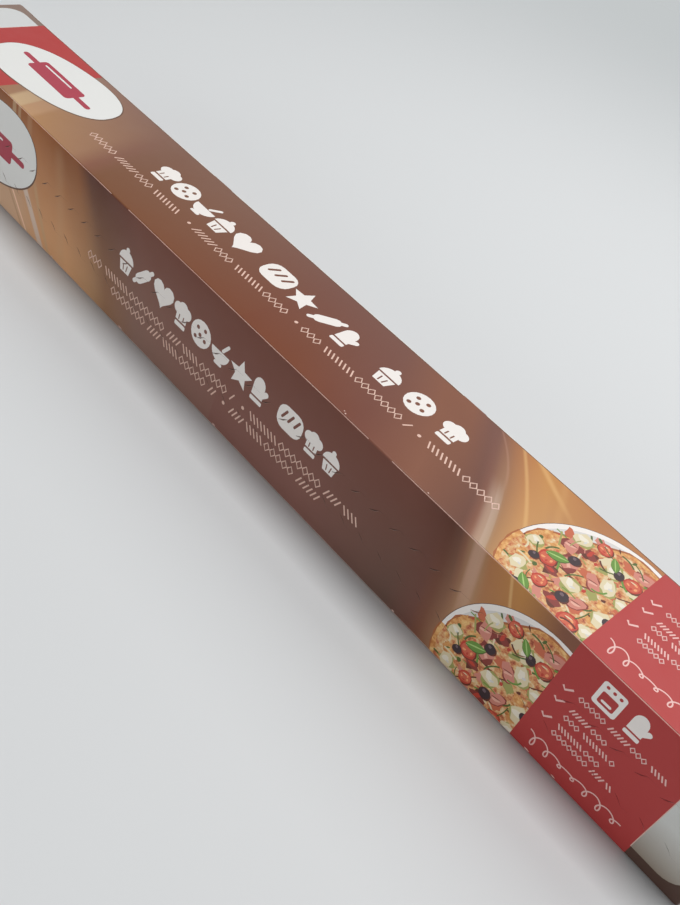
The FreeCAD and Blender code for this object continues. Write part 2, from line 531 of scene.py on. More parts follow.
# Each group of a heading: where it starts and stops, and its pictograms
TOP_HEADING = (
    (-76, -24, ("chef_hat", "biscuit", "mixing_bowl", "cupcake", "heart")),
    (-18, 25.5, ("loaf", "star", "rolling_pin", "mitt")),
    (36, 71.5, ("cupcake", "biscuit", "chef_hat")),
)
FRONT_HEADING = (
    (-57, 20, ("cupcake", "rolling_pin", "heart", "chef_hat", "biscuit", "mixing_bowl", "star", "mitt")),
    (25, 52.5, ("loaf", "chef_hat", "cupcake")),
)
HEADING_GAP = 0.8


# --- The print ---

PANEL_MARGIN = 0.05


class Print:
    """Outlines on the flat card with their inks, in the order that they are printed."""

    def __init__(self, card):
        self.card = card
        self.shapes = []

    def add(self, ink, panel, outline, x_limits=None):
        """Prints an outline on a panel, cut off at the panel's edges and at x_limits."""
        x0, x1 = x_limits or (-self.card.end, self.card.end)
        outline = clipped(outline, x0, x1, PANEL_MARGIN, panel.tall - PANEL_MARGIN)
        if len(outline) > 2:
            self.shapes.append((ink, [(x, panel.girth(v)) for x, v in outline]))

    def add_band(self, ink, x0, x1):
        """Prints a band right round the card."""
        self.shapes.append((ink, box_shape(x0, x1, self.card.lowest_girth, self.card.highest_girth)))

    def add_pictogram(self, name, panel, centre, box, ink, ground):
        """Prints a pictogram as large as a box (width, height) round a centre lets it be."""
        (x0, x1), (v0, v1) = pictogram_reach(name)
        scale = min(box[0] / (x1 - x0), box[1] / (v1 - v0))
        for number, layer in enumerate(PICTOGRAMS[name]):
            for outline in layer:
                placed = [(centre[0] + (x - (x0 + x1) / 2) * scale, centre[1] + (v - (v0 + v1) / 2) * scale)
                          for x, v in outline]
                self.add(ground if number % 2 else ink, panel, placed)


def pictogram_reach(name):
    """Least and greatest x, then drop, of a pictogram's printed outlines."""
    points = [point for layer in PICTOGRAMS[name][::2] for outline in layer for point in outline]
    return [(min(p[axis] for p in points), max(p[axis] for p in points)) for axis in (0, 1)]


def picture_end(card, sizes):
    """x of the edge between the picture field and the right red block."""
    return card.outer_end - sizes.end_panel_width - sizes.red_block_width


def print_bands(art, sizes):
    """The red blocks and the framed panel with a plain window at each end, whose colour darkens towards the
    base as painted shade.
    """
    card = art.card
    red_start = picture_end(card, sizes)
    panel_start = card.outer_end - sizes.end_panel_width
    frame_start = card.outer_end - sizes.frame_at_end
    radius = sizes.window_corner
    fringe = 0.25
    for side in SIDES:
        art.add_band("red", *sorted((side * red_start, side * panel_start)))
        art.add_band("end_frame", *sorted((side * panel_start, side * card.end)))
        for panel in (card.top_panel, card.front_panel, card.back_panel, card.base_panel):
            v0, v1 = sizes.frame_at_folds, panel.tall - sizes.frame_at_folds
            window = [(panel_start, v0), *arc((frame_start - radius, v0 + radius), radius, 0.75, 1, 6),
                      *arc((frame_start - radius, v1 - radius), radius, 0, 0.25, 6), (panel_start, v1)]
            # The window's ink darkens from the top towards the base: painted shade.
            art.add("window", panel, [(side * x, v) for x, v in window])
            edge = side * panel_start
            art.add("bare_card", panel, box_shape(*sorted((edge - side * fringe, edge)), v0, v1))


def print_badge(art, panel):
    """The white oval badge with a rolling pin, and its thin shade."""
    x, drop = -136, 20.2
    oval = {"tilt": -0.03, "count": 64, "fullness": 0.86}
    art.add("shade", panel, disc((x + 0.25, drop + 0.15), radius=28.9, squash=0.54, **oval))
    art.add("white", panel, disc((x, drop), radius=28.5, squash=0.535, **oval))
    art.add_pictogram("long_rolling_pin", panel, (x, drop), (42, 9.2), "badge_red", "white")


def print_heading(art, panel, groups, middle, height):
    """Groups of pictograms of one height, each group spread evenly from x0 to x1 at its middle drop."""
    for x0, x1, names in groups:
        widths = []
        for name in names:
            (left, right), (upper, lower) = pictogram_reach(name)
            widths.append(height * (right - left) / (lower - upper))
        gaps = len(names) - 1
        squeeze = min(1.0, (x1 - x0 - HEADING_GAP * gaps) / sum(widths))
        gap = max((x1 - x0 - sum(widths)) / gaps, HEADING_GAP)
        x = x0
        for name, width in zip(names, widths):
            width *= squeeze
            art.add_pictogram(name, panel, (x + width / 2, middle), (width, height), "heading", panel.field)
            x += width + gap


def blobs(*layers):
    """A topping made of blobs. Each is (ink, shift, further shift, size, wobble, number of points, squash).

    The first shift is in millimetres. The further shift and the size are shares of the topping's size.
    """
    def topping(draw, at, size, chance):
        for ink, (dx, dv), (share_x, share_v), scale, wobble, count, squash in layers:
            centre = (at[0] + dx + size * share_x, at[1] + dv + size * share_v)
            draw(ink, blob(centre, size * scale, wobble, chance, count, squash))
    return topping


HERE = (0, 0)
print_olive = blobs(
    ("gap", (0.15, 0.2), HERE, 1.08, 0.05, 14, 0.85), ("olive", HERE, HERE, 1, 0.05, 14, 0.85),
    ("olive_shine", HERE, (-0.2, -0.3), 0.3, 0.2, 7, 1),
)
print_cheese = blobs(
    ("greens", (0.25, 0.35), HERE, 1.08, 0.18, 12, 0.75), ("melted_cheese", HERE, HERE, 1, 0.2, 12, 0.75),
    ("plate", HERE, (-0.12, -0.1), 0.55, 0.3, 9, 0.6), ("plate_shade", HERE, (0.3, 0.1), 0.25, 0.4, 7, 0.5),
)
print_pepper = blobs(
    ("gap", (0.2, 0.25), HERE, 1.05, 0.2, 11, 0.55), ("dark_ham", HERE, HERE, 1, 0.2, 11, 0.55),
    ("tomato", HERE, (-0.15, -0.12), 0.6, 0.25, 9, 0.45),
)
print_ham_slice = blobs(
    ("dark_ham", (0.2, 0.3), HERE, 1.06, 0.15, 12, 0.6), ("ham", HERE, HERE, 1, 0.18, 12, 0.6),
    ("ham_edge", HERE, (0, 0.12), 0.5, 0.3, 8, 0.35),
)
print_tomato_slice = blobs(
    ("gap", (0.2, 0.25), HERE, 1.04, 0.05, 16, 0.9), ("tomato", HERE, HERE, 1, 0.05, 16, 0.9),
    ("tomato_flesh", HERE, HERE, 0.8, 0.08, 12, 0.9),
)


def streak(draw, ink, at, size, start, end, width):
    """A pointed streak on a topping. Its ends and width are shares of the topping's size."""
    tips = [(at[0] + size * x, at[1] + size * v) for x, v in (start, end)]
    draw(ink, leaf_shape(*tips, size * width))


def print_ham(draw, at, size, chance):
    print_ham_slice(draw, at, size, chance)
    streak(draw, "dark_ham", at, size, (-0.6, 0.1), (0.5, -0.2), 0.12)


def print_tomato(draw, at, size, chance):
    print_tomato_slice(draw, at, size, chance)
    for i, ink in enumerate(("tomato_seed", "tomato", "tomato_seed", "tomato", "tomato_seed")):
        turn = (chance.random() * 0.3 + i) / 5
        draw(ink, blob(polar(at, size * 0.45, turn * TURN), size * 0.22, 0.25, chance, 7, 0.6))
    streak(draw, "melted_cheese", at, size, (-0.5, -0.35), (0.2, -0.5), 0.16)


def print_leaf(draw, at, size, chance):
    turn = chance.random() * TURN
    tips = [polar(at, reach, turn) for reach in (-size, size)]
    draw("leaf_vein", leaf_shape(*[(x + 0.2, v + 0.25) for x, v in tips], size))
    draw("leaf", leaf_shape(*tips, size * 0.95))
    draw("leaf_light", leaf_shape(*tips, size * 0.14))


CRUMB_INKS = ("browned", "tomato", "leaf_vein", "crust", "melted_cheese", "ham", "tomato_flesh", "gap")
PATCH_INKS = ("melted_cheese", "sauce", "crust", "ham", "sauce", "greens")
STRIP_INKS = ("leaf_vein", "greens", "leaf", "greens", "melted_cheese", "gap")


def print_crumb(draw, at, size, chance):
    draw(chance.choice(CRUMB_INKS), blob(at, size, 0.35, chance, 7, chance.uniform(0.35, 0.8)))


def print_patch(draw, at, size, chance):
    """A wide patch of cheese, sauce or greens in the bake's ground."""
    draw(chance.choice(PATCH_INKS), blob(at, size, 0.35, chance, 14, chance.uniform(0.4, 0.8)))


def print_strip(draw, at, size, chance):
    """A bent strip of rocket, onion or pepper."""
    tilt, bend = chance.random(), chance.uniform(-0.9, 0.9)
    strip = [((i / 5 - 0.5) * 2 * size, bend * (1 - (i / 2.5 - 1) ** 2)) for i in range(6)]
    draw(chance.choice(STRIP_INKS), ribbon(moved(strip, at, tilt), chance.uniform(0.3, 0.7)))


# What lies on the bake, from below: (topping, number, size), then the large toppings by turns
TOPPINGS = ((print_patch, 60, 2.4), (print_strip, 40, 2.4), (print_crumb, 100, 0.9))
LARGE_TOPPINGS = ((print_ham, 3.6), (print_tomato, 3.3), (print_cheese, 3.4), (print_pepper, 2.9),
                  (print_tomato, 3.0), (print_cheese, 2.8))
LARGE_TOPPING_COUNT = 40
UPPER_TOPPINGS = ((print_strip, 36, 2.7), (print_olive, 9, 2.0), (print_leaf, 6, 3.1))


def spread(count, centre, reach, chance):
    """Places in a round bake, each the farthest of a few tries from the ones before it."""
    places = []
    for _ in range(count):
        tries = []
        for _ in range(14):
            radius, turn = reach * math.sqrt(chance.random()), chance.random() * TURN
            tries.append(polar(centre, radius, turn))
        places.append(max(tries, key=lambda at: min((math.dist(at, each) for each in places), default=0)))
    return places


def bake_piece(centre, reach, chance, cut_back=0.0):
    """A round bake's outline with an uneven edge, cut straight at the upper left if cut_back isn't 0."""
    points = []
    count, unevenness, cut_towards = 84, 0.008, 0.635 * TURN
    for i in range(count):
        turn = TURN * i / count
        radius = reach * (1 + unevenness * chance.uniform(-1, 1))
        towards_cut = math.cos(turn - cut_towards)
        if cut_back and towards_cut > 0.5:
            radius = min(radius, (reach - cut_back) / towards_cut)
        points.append(polar(centre, radius, turn))
    return points


def print_bake(art, panel, centre, sizes):
    """A white plate with a sliced round bake that overhangs it at the lower left, up to the red block."""
    chance = random.Random(sizes.seed)
    x, drop = centre
    radius = sizes.plate_radius
    limits = (0, picture_end(art.card, sizes))
    overhang = 1.2
    split = drop - 2.6
    half_split = 0.15
    far = 99

    def draw(ink, outline):
        art.add(ink, panel, outline, limits)

    draw("shade", disc(centre, radius + 0.2, count=72))
    draw("heading", disc(centre, radius, count=72))
    draw("plate_shade", disc((x + 0.6, drop + 0.6), radius - 1.0, count=60))
    for ink, inset, cut_back in (("browned", 1.2, 3.4), ("crust", 1.7, 3.6), ("baked_cheese", 3.0, 3.4)):
        upper_piece = bake_piece(centre, radius - inset, chance, cut_back)
        draw(ink, clipped(upper_piece, *limits, -far, split - half_split))
        lower_piece = bake_piece((x - 0.6, drop + 0.4), radius + overhang - inset, chance)
        draw(ink, clipped(lower_piece, *limits, split + half_split, far))
    hub = (x - 7, split)
    draw("gap", ribbon([(x - radius + 1.4, split), hub], 0.5))
    for end in ((limits[1] + 6, split - 13), (x - 24, drop + 18)):
        draw("gap", ribbon([hub, end], 0.45))

    middle = (x - 0.8, drop + 0.3)

    def scatter(toppings, inset):
        for topping, number, size in toppings:
            for at in spread(number, middle, radius - inset - 0.6 * size, chance):
                topping(draw, at, size * chance.uniform(0.8, 1.12), chance)

    scatter(TOPPINGS, inset=2.4)
    for i, at in enumerate(spread(LARGE_TOPPING_COUNT, middle, radius - 5.0, chance)):
        topping, size = LARGE_TOPPINGS[i % len(LARGE_TOPPINGS)]
        topping(draw, at, size * chance.uniform(0.8, 1.1), chance)
    scatter(UPPER_TOPPINGS, inset=3.0)


def print_red_block(art, panel, ticks, marks):
    """What the right red block shows: ticks at these drops, a pen's looping flourish and large pictograms."""
    tick_x, tick_box = 139.3, (3.4, 2.6)
    mark_drop, mark_box = 7.7, (8.4, 8.6)
    for drop in ticks:
        art.add_pictogram("tick", panel, (tick_x, drop), tick_box, "red_block_line", "red")
    start, reach, loops, middle = 138.5, 32.0, 7, 37.6
    count = 150
    points = []
    for i in range(count + 1):
        t = i / count
        turn = t * loops * TURN
        swell = 1.6 + 0.9 * math.sin(t * TURN * 1.5 + 0.7)
        x = start + reach * t + 1.5 * math.sin(turn)
        points.append((x, middle - swell * math.cos(turn) * (1 - 0.3 * t)))
    art.add("red_block_line", panel, ribbon(points, 0.42))
    for name, x in marks:
        art.add_pictogram(name, panel, (x, mark_drop), mark_box, "heading", "red")


def print_wear(art, sizes):
    """The worn line on the front scored fold; on the back one, a dark line of painted shade in the crease and
    a pale line that is partly the cracked crease, partly a painted highlight; and the specks and nicks beside
    the front panel's edges.
    """
    card = art.card
    chance = random.Random(sizes.seed + 1)
    piece = 5.0
    # The back fold's shade line is painted shade in its crease, and its heading-ink line is partly the
    # cracked crease, partly a painted highlight. The front fold's bare card line is real wear.
    for ink, fold, half in (("bare_card", 0, sizes.wear_width / 2), ("shade", card.depth - 0.75, 0.25),
                            ("heading", card.depth - 0.3, 0.3)):
        for x0, x1 in card.score_runs():
            count = int((x1 - x0) / piece)
            xs = [x0 + (x1 - x0) * i / count for i in range(count + 1)]
            upper = [(x, fold + half * chance.uniform(0.8, 1.2)) for x in xs]
            lower = [(x, fold - half * chance.uniform(0.8, 1.2)) for x in xs]
            art.shapes.append((ink, lower + upper[::-1]))
    for x, drop, size in ((46.5, 42.9, 0.3), (80, 43.1, 0.25), (45.6, 42.4, 0.2)):
        art.add("bare_card", card.top_panel, blob((x, drop), size, 0.3, chance, 8))
    edge = card.front_panel.tall
    for x, reach in ((-49.5, 1.2), (3, 0.9), (141, 1.0), (150.5, 0.8), (-92, 0.7), (88, 0.6)):
        nick = leaf_shape((x - reach, edge - 0.35), (x + reach, edge - 0.2), 0.5)
        art.add("bare_card", card.front_panel, nick)


def carton_print(card, sizes):
    """Everything that is printed: the outlines of the skin with their inks."""
    art = Print(card)
    top, front = card.top_panel, card.front_panel
    print_bands(art, sizes)
    print_badge(art, top)
    print_badge(art, front)
    print_heading(art, top, TOP_HEADING, 17.7, sizes.heading_height)
    print_heading(art, front, FRONT_HEADING, 17.1, sizes.heading_height)
    print_bake(art, top, (130.8, 31.1), sizes)
    print_bake(art, front, (130.8, 33.3), sizes)
    print_red_block(art, top, (13.3, 18, 25.8), ())
    print_red_block(art, front, (15, 20, 27.5), (("oven", 148.6), ("mitt", 158.3)))
    print_wear(art, sizes)
    return art.shapes


# --- Materials ---

def node_maker(tree):
    """Makes nodes. An input is set, or linked if it is another node's output. The result is an output."""
    def make(kind, inputs=None, output=0, **attributes):
        node = tree.nodes.new(kind)
        for name, value in attributes.items():
            setattr(node, name, value)
        for name, value in (inputs or {}).items():
            if isinstance(value, bpy.types.NodeSocket):
                tree.links.new(value, node.inputs[name])
            else:
                node.inputs[name].default_value = value
        return node.outputs[output] if node.outputs else None
    return make


def cleared(owner):
    """The maker of the nodes of a new material or world, emptied first."""
    owner.use_nodes = True
    owner.node_tree.nodes.clear()
    return node_maker(owner.node_tree)


def maths(make, operation, first, second):
    return make("ShaderNodeMath", {0: first, 1: second}, operation=operation)


def remapped(make, value, start, stop, low=0.0, high=1.0, easing="LINEAR"):
    """A value that goes from low at start to high at stop."""
    return make("ShaderNodeMapRange", {"Value": value, "From Min": start, "From Max": stop, "To Min": low,
                                       "To Max": high}, interpolation_type=easing)


def mixed(make, factor, first, second):
    """A mix of two colours: 6, 7 and output 2 are the colour sockets of a node that also mixes numbers."""
    return make("ShaderNodeMix", {0: factor, 6: first, 7: second}, output=2, data_type="RGBA")


def ramp(make, factor, stops):
    """A colour ramp with stops of (position, sRGB levels)."""
    result = make("ShaderNodeValToRGB", {"Fac": factor})
    elements = result.node.color_ramp.elements
    while len(elements) < len(stops):
        elements.new(0.5)
    for element, (position, levels) in zip(elements, stops):
        element.position = position
        element.color = (*from_srgb(*levels), 1)
    return result


def card_ink(name, ink_colour):
    """Printed card, with uneven gloss and the grain of its fibres. ink_colour makes its colour's nodes."""
    material = bpy.data.materials.new(name)
    make = cleared(material)
    place = make("ShaderNodeTexCoord", output="Object")
    patches = make("ShaderNodeTexNoise", {"Vector": place, "Scale": 130, "Detail": 3})
    fibres = make("ShaderNodeTexNoise", {"Vector": place, "Scale": 1400, "Detail": 4, "Roughness": 0.6})
    relief = make("ShaderNodeBump", {"Height": fibres, "Strength": 0.25, "Distance": 0.05 * MM})
    shader = make("ShaderNodeBsdfPrincipled", {
        "Base Color": ink_colour(make, place), "Roughness": remapped(make, patches, 0.3, 0.7, 0.37, 0.48),
        "Specular IOR Level": 0.3, "Normal": relief})
    make("ShaderNodeOutputMaterial", {"Surface": shader})
    return material


def plain(ink_colour):
    return lambda make, place: (*ink_colour, 1)


def mottled(scale, stops):
    """A colour that varies in soft patches, as in a printed picture of food."""
    def ink_colour(make, place):
        noise = {"Vector": place, "Scale": scale, "Detail": 3, "Roughness": 0.65}
        patches = make("ShaderNodeTexNoise", noise)
        return ramp(make, remapped(make, patches, 0.32, 0.68), stops)
    return ink_colour


def along_axis(axis, start, stop, stops):
    """A colour that changes along one axis, between start and stop in millimetres."""
    def ink_colour(make, place):
        along = make("ShaderNodeSeparateXYZ", {"Vector": place}, output=axis)
        return ramp(make, remapped(make, along, start * MM, stop * MM), stops)
    return ink_colour


def picture_field(card, down_axis, edges, rows, beams):
    """The picture field's ground: its colour changes along the panel and softly between two slanting edges.

    down_axis is the axis that drops run against. An edge is (x at the panel's upper edge, slope, curve). rows
    holds the colours at the panel's upper and at its lower edge, each as two ramps over the distance from the
    left and from the right edge, in millimetres. beams are streaks of light over it.
    """
    reach = 120.0

    def ink_colour(make, place):
        axes = make("ShaderNodeSeparateXYZ", {"Vector": place}).node.outputs
        x = maths(make, "MULTIPLY", axes["X"], 1 / MM)
        origin = card.back if down_axis == "Y" else card.top
        drop = maths(make, "ADD", maths(make, "MULTIPLY", axes[down_axis], -1 / MM), origin)
        square = maths(make, "MULTIPLY", drop, drop)

        def past_edge(start, slope, curve):
            """Distance past a slanting edge."""
            straight = maths(make, "MULTIPLY", drop, slope)
            bent = maths(make, "ADD", straight, maths(make, "MULTIPLY", square, curve))
            return maths(make, "SUBTRACT", x, maths(make, "ADD", bent, start))

        blends = []
        on_right = maths(make, "GREATER_THAN", x, 0.0)
        for row in rows:
            sides = []
            for edge, stops in zip(edges, row):
                placed = [(0.5 + away * 0.5 / reach, PICTURE_COLOURS[name]) for away, name in stops]
                sides.append(ramp(make, remapped(make, past_edge(*edge), -reach, reach), placed))
            blends.append(mixed(make, on_right, *sides))
        blended = mixed(make, maths(make, "MULTIPLY", drop, 1 / card.depth), *blends)
        for edge, width, softness, strength, (faded, full), name in beams:
            away = past_edge(*edge)
            shown = strength
            for value, start, stop in ((away, 0, softness), (away, width, width - softness),
                                       (drop, faded, full)):
                eased = remapped(make, value, start, stop, easing="SMOOTHSTEP")
                shown = maths(make, "MULTIPLY", eased, shown)
            blended = mixed(make, shown, blended, (*from_srgb(*PICTURE_COLOURS[name]), 1))
        return blended
    return ink_colour


# The colours that the picture field is mixed from, as sRGB levels
PICTURE_COLOURS = {
    "umber": (91, 45, 27), "espresso": (102, 61, 45), "cocoa": (114, 64, 49), "sienna": (116, 60, 33),
    "bark": (120, 75, 44), "smoke": (105, 79, 68), "mocha": (116, 76, 65), "mushroom": (124, 88, 72),
    "clay": (131, 83, 62), "taupe": (137, 94, 84), "dusk": (146, 113, 100), "rust": (139, 77, 28),
    "copper": (159, 92, 37), "tan": (150, 92, 60), "toffee": (159, 117, 86), "caramel": (176, 116, 69),
    "wheat": (172, 128, 86), "sand": (167, 136, 105), "biscuit": (186, 144, 106), "amber": (194, 136, 72),
    "straw": (197, 166, 128), "honey": (207, 157, 99), "peach": (223, 169, 122), "cream": (222, 183, 149),
    "rose": (208, 163, 142), "glow": (230, 186, 124), "haze": (219, 200, 186), "blush": (246, 206, 176),
}

# The edges of the dark middle, and the colours along the upper and lower edge of the top and of the front
ACROSS_EDGES = ((-92, 0.22, 0), (77, 0.72, -0.0035))
ACROSS_ROWS = (
    (
        ((-60, "dusk"), (12, "mushroom"), (40, "mushroom"), (92, "mocha")),
        ((-77, "mocha"), (-45, "mocha"), (-28, "clay"), (-16, "clay"), (-8, "mocha"), (-5, "mocha"),
         (6, "caramel"), (14, "amber"), (34, "caramel")),
    ),
    (
        ((-47, "toffee"), (-45.5, "straw"), (-39.5, "straw"), (-38.5, "biscuit"), (-33, "biscuit"),
         (-31, "wheat"), (-8, "toffee"), (0, "clay"), (6, "bark"), (92, "sienna")),
        ((-77, "sienna"), (-50, "cocoa"), (-28, "clay"), (-9, "espresso"), (-6, "clay"), (-3.5, "toffee"),
         (-0.8, "sand"), (0.8, "wheat"), (8, "honey"), (16, "biscuit")),
    ),
)
DOWN_EDGES = ((-82, 0.56, -0.0035), (95.5, 0.28, -0.002))
# On the front, the colours along the lower edge are lightened a little as painted light, standing in for
# light thrown up from the floor; the rest is the print.
DOWN_ROWS = (
    (
        ((-52, "rust"), (-30, "copper"), (-12, "rust"), (-5, "rust"), (3, "umber"), (10, "umber"),
         (30, "cocoa"), (82, "cocoa")),
        ((-95, "cocoa"), (-20, "cocoa"), (-5, "umber"), (-2, "espresso"), (0, "clay"), (2, "toffee"),
         (4.5, "sand"), (9, "caramel"), (20, "amber"), (34, "clay")),
    ),
    (
        ((-52, "cream"), (-34, "peach"), (-18, "peach"), (-1, "biscuit"), (6, "toffee"), (24, "dusk"),
         (82, "taupe")),
        ((-95, "taupe"), (-60, "taupe"), (-20, "smoke"), (-10, "mocha"), (-6, "clay"), (5, "biscuit"),
         (20, "tan"), (40, "tan")),
    ),
)

# Streaks of light in the picture field. Each has its left edge as (x at the panel's upper edge, slope,
# curve), its width, how softly it starts and ends, its strength, the drops at which it starts and has faded
# in, and its colour.
BEAMS_ACROSS = (
    ((71.4, 1.27, -0.0205), 1.8, 0.9, 0.18, (25, 13), "rose"),
    ((80.3, 0.92, -0.0051), 2.6, 1.25, 0.42, (-2, -1), "glow"),
    ((84.5, 1.75, 0), 6.5, 3.2, 0.4, (14, 6), "glow"),
    ((96, 0.5, 0), 4.5, 2.2, 0.3, (26, 14), "honey"),
    ((74.2, 0.72, -0.0035), 2.8, 0.5, 0.16, (17, 28), "haze"),
    ((70.6, 0.72, -0.0035), 6.6, 3.0, 0.22, (17, 28), "haze"),
)
BEAMS_DOWN = (
    ((97.6, 0.2, 0), 5.4, 1.5, 0.5, (36, 8), "rose"),
    ((110.6, 0.45, 0), 1.8, 0.85, 0.6, (-2, -1), "glow"),
    ((-139.4, 0.868, 0), 5.2, 1.5, 0.78, (18, 25), "haze"),
    ((-118, 0.25, 0.006), 3.8, 1.8, 0.5, (16, 26), "straw"),
    ((-155.0, 1.05, 0), 1.7, 0.5, 0.95, (24, 30), "blush"),
    ((-158.6, 1.06, 0), 2.2, 0.9, 0.35, (24, 34), "toffee"),
    ((-126, 0.12, 0), 3.0, 0.8, 0.65, (11, 5), "straw"),
    ((-122.4, 0.12, 0), 2.4, 0.7, 0.5, (11, 5), "straw"),
    ((-117, 0.15, 0), 4.4, 1.6, 0.4, (12, 4), "biscuit"),
    ((-101, 0.24, 0), 8.5, 4.2, 0.14, (-2, 6), "straw"),
)

# The inks of the printed bake, as sRGB levels
FOOD_COLOURS = {
    "plate": (234, 226, 208), "plate_shade": (214, 210, 206), "gap": (98, 48, 32), "browned": (168, 98, 56),
    "tomato": (190, 66, 50), "tomato_flesh": (206, 100, 74), "tomato_seed": (234, 158, 108),
    "olive": (58, 42, 46), "olive_shine": (112, 92, 98), "leaf": (104, 144, 62), "leaf_vein": (82, 100, 46),
    "leaf_light": (168, 200, 120), "melted_cheese": (222, 208, 172), "ham": (206, 134, 118),
    "ham_edge": (226, 172, 152), "dark_ham": (134, 58, 50), "sauce": (196, 104, 72), "greens": (160, 158, 92),
}
BAKED_CHEESE_STOPS = ((0, (154, 72, 50)), (0.25, (198, 118, 78)), (0.5, (214, 160, 106)),
                      (0.75, (222, 190, 142)), (1, (226, 210, 182)))
CRUST_STOPS = ((0, (186, 112, 58)), (0.5, (216, 156, 92)), (1, (234, 196, 132)))
END_FRAME_STOPS = ((0, (138, 116, 105)), (1, (80, 56, 46)))
# The window's colour from the base up to the top: darker low down as painted shade.
WINDOW_STOPS = ((0.1, (150, 138, 124)), (0.45, (206, 207, 203)), (1, (212, 213, 212)))


def carton_inks(card):
    """The materials of the printed card by name, in the order of the skin's material slots."""
    colours = {
        "field_across": picture_field(card, "Y", ACROSS_EDGES, ACROSS_ROWS, BEAMS_ACROSS),
        "field_down": picture_field(card, "Z", DOWN_EDGES, DOWN_ROWS, BEAMS_DOWN),
        "field_plain": picture_field(card, "Z", DOWN_EDGES, DOWN_ROWS, ()),
        "end_frame": along_axis("X", -card.outer_end, card.outer_end, END_FRAME_STOPS),
        "window": along_axis("Z", card.base, card.top, WINDOW_STOPS),
        "baked_cheese": mottled(460, BAKED_CHEESE_STOPS),
        "crust": mottled(480, CRUST_STOPS),
        **{name: plain(value) for name, value in vars(settings("carton_inks")).items()},
        **{name: plain(from_srgb(*levels)) for name, levels in FOOD_COLOURS.items()},
    }
    return {name: card_ink(name, ink_colour) for name, ink_colour in colours.items()}


# --- Meshes ---

def skin_grid(card):
    """Columns (x) and rows (girth) of the skin's plain points: close at folds, scores and ends."""
    sizes = card.sizes
    radius = sizes.fold_radius
    corner = [card.end - radius + radius * math.sin(turn) for turn in (0, 0.4, 0.8, 1.2, math.pi / 2)]
    flat = np.linspace(radius - card.end, card.end - radius, int(2 * card.end / sizes.mesh_step) + 1)
    columns = np.concatenate([[-x for x in reversed(corner[1:])], flat, corner[1:]])
    rows = set()
    ends = [run[0] for run in card.runs] + [card.highest_girth]
    fold_girths = [fold[0] for fold in card.folds()]
    for low, high in zip(ends, ends[1:]):
        first = low + radius if low in fold_girths else low
        last = high - radius if high in fold_girths else high
        rows.update(np.linspace(first, last, max(int((last - first) / sizes.mesh_step), 1) + 1))
    for at in fold_girths:
        rows.update(at + radius * part for part in (-0.75, -0.5, -0.25, 0, 0.25, 0.5, 0.75))
    for at in (0, card.depth):
        rows.update((at - sizes.score_width / 2, at + sizes.score_width / 2))
    return columns, np.array(sorted(rows))


def inside(outline, points):
    """Which points lie inside a closed outline, by its winding number."""
    corners = np.array(outline)
    ahead = np.roll(corners, -1, axis=0)
    winding = np.zeros(len(points), int)
    for (x0, y0), (x1, y1) in zip(corners, ahead):
        left_of = (x1 - x0) * (points[:, 1] - y0) - (points[:, 0] - x0) * (y1 - y0)
        winding += ((y0 <= points[:, 1]) & (points[:, 1] < y1) & (left_of > 0)).astype(int)
        winding -= ((y1 <= points[:, 1]) & (points[:, 1] < y0) & (left_of < 0)).astype(int)
    return winding != 0


def printed_triangles(card, shapes):
    """Points and triangles of the flat skin with the print cut into it, and each triangle's ink."""
    columns, rows = skin_grid(card)
    points = [Vector((x, girth)) for girth in rows for x in columns]
    lines = [(i * len(columns), (i + 1) * len(columns) - 1) for i in range(len(rows))]
    for _, outline in shapes:
        first = len(points)
        points.extend(Vector(point) for point in outline)
        lines.extend((first + i, first + (i + 1) % len(outline)) for i in range(len(outline)))
    cut = delaunay_2d_cdt(points, lines, [], 0, SAME_PLACE, False)
    flat = np.array([tuple(point) for point in cut[0]])
    triangles = np.array(cut[2])
    centres = flat[triangles].mean(1)
    ink = np.where(centres[:, 1] < 0, "field_down", "field_across").astype(object)
    ink[centres[:, 1] > card.depth] = "field_plain"
    ink[centres[:, 1] > card.inner_front_girth] = "bare_card"
    for name, outline in shapes:
        low, high = np.min(outline, 0), np.max(outline, 0)
        near = np.flatnonzero(((centres > low) & (centres < high)).all(1))
        ink[near[inside(outline, centres[near])]] = name
    ink[centres[:, 1] > card.raw_edge_girth] = "bare_card"
    return flat, triangles, ink


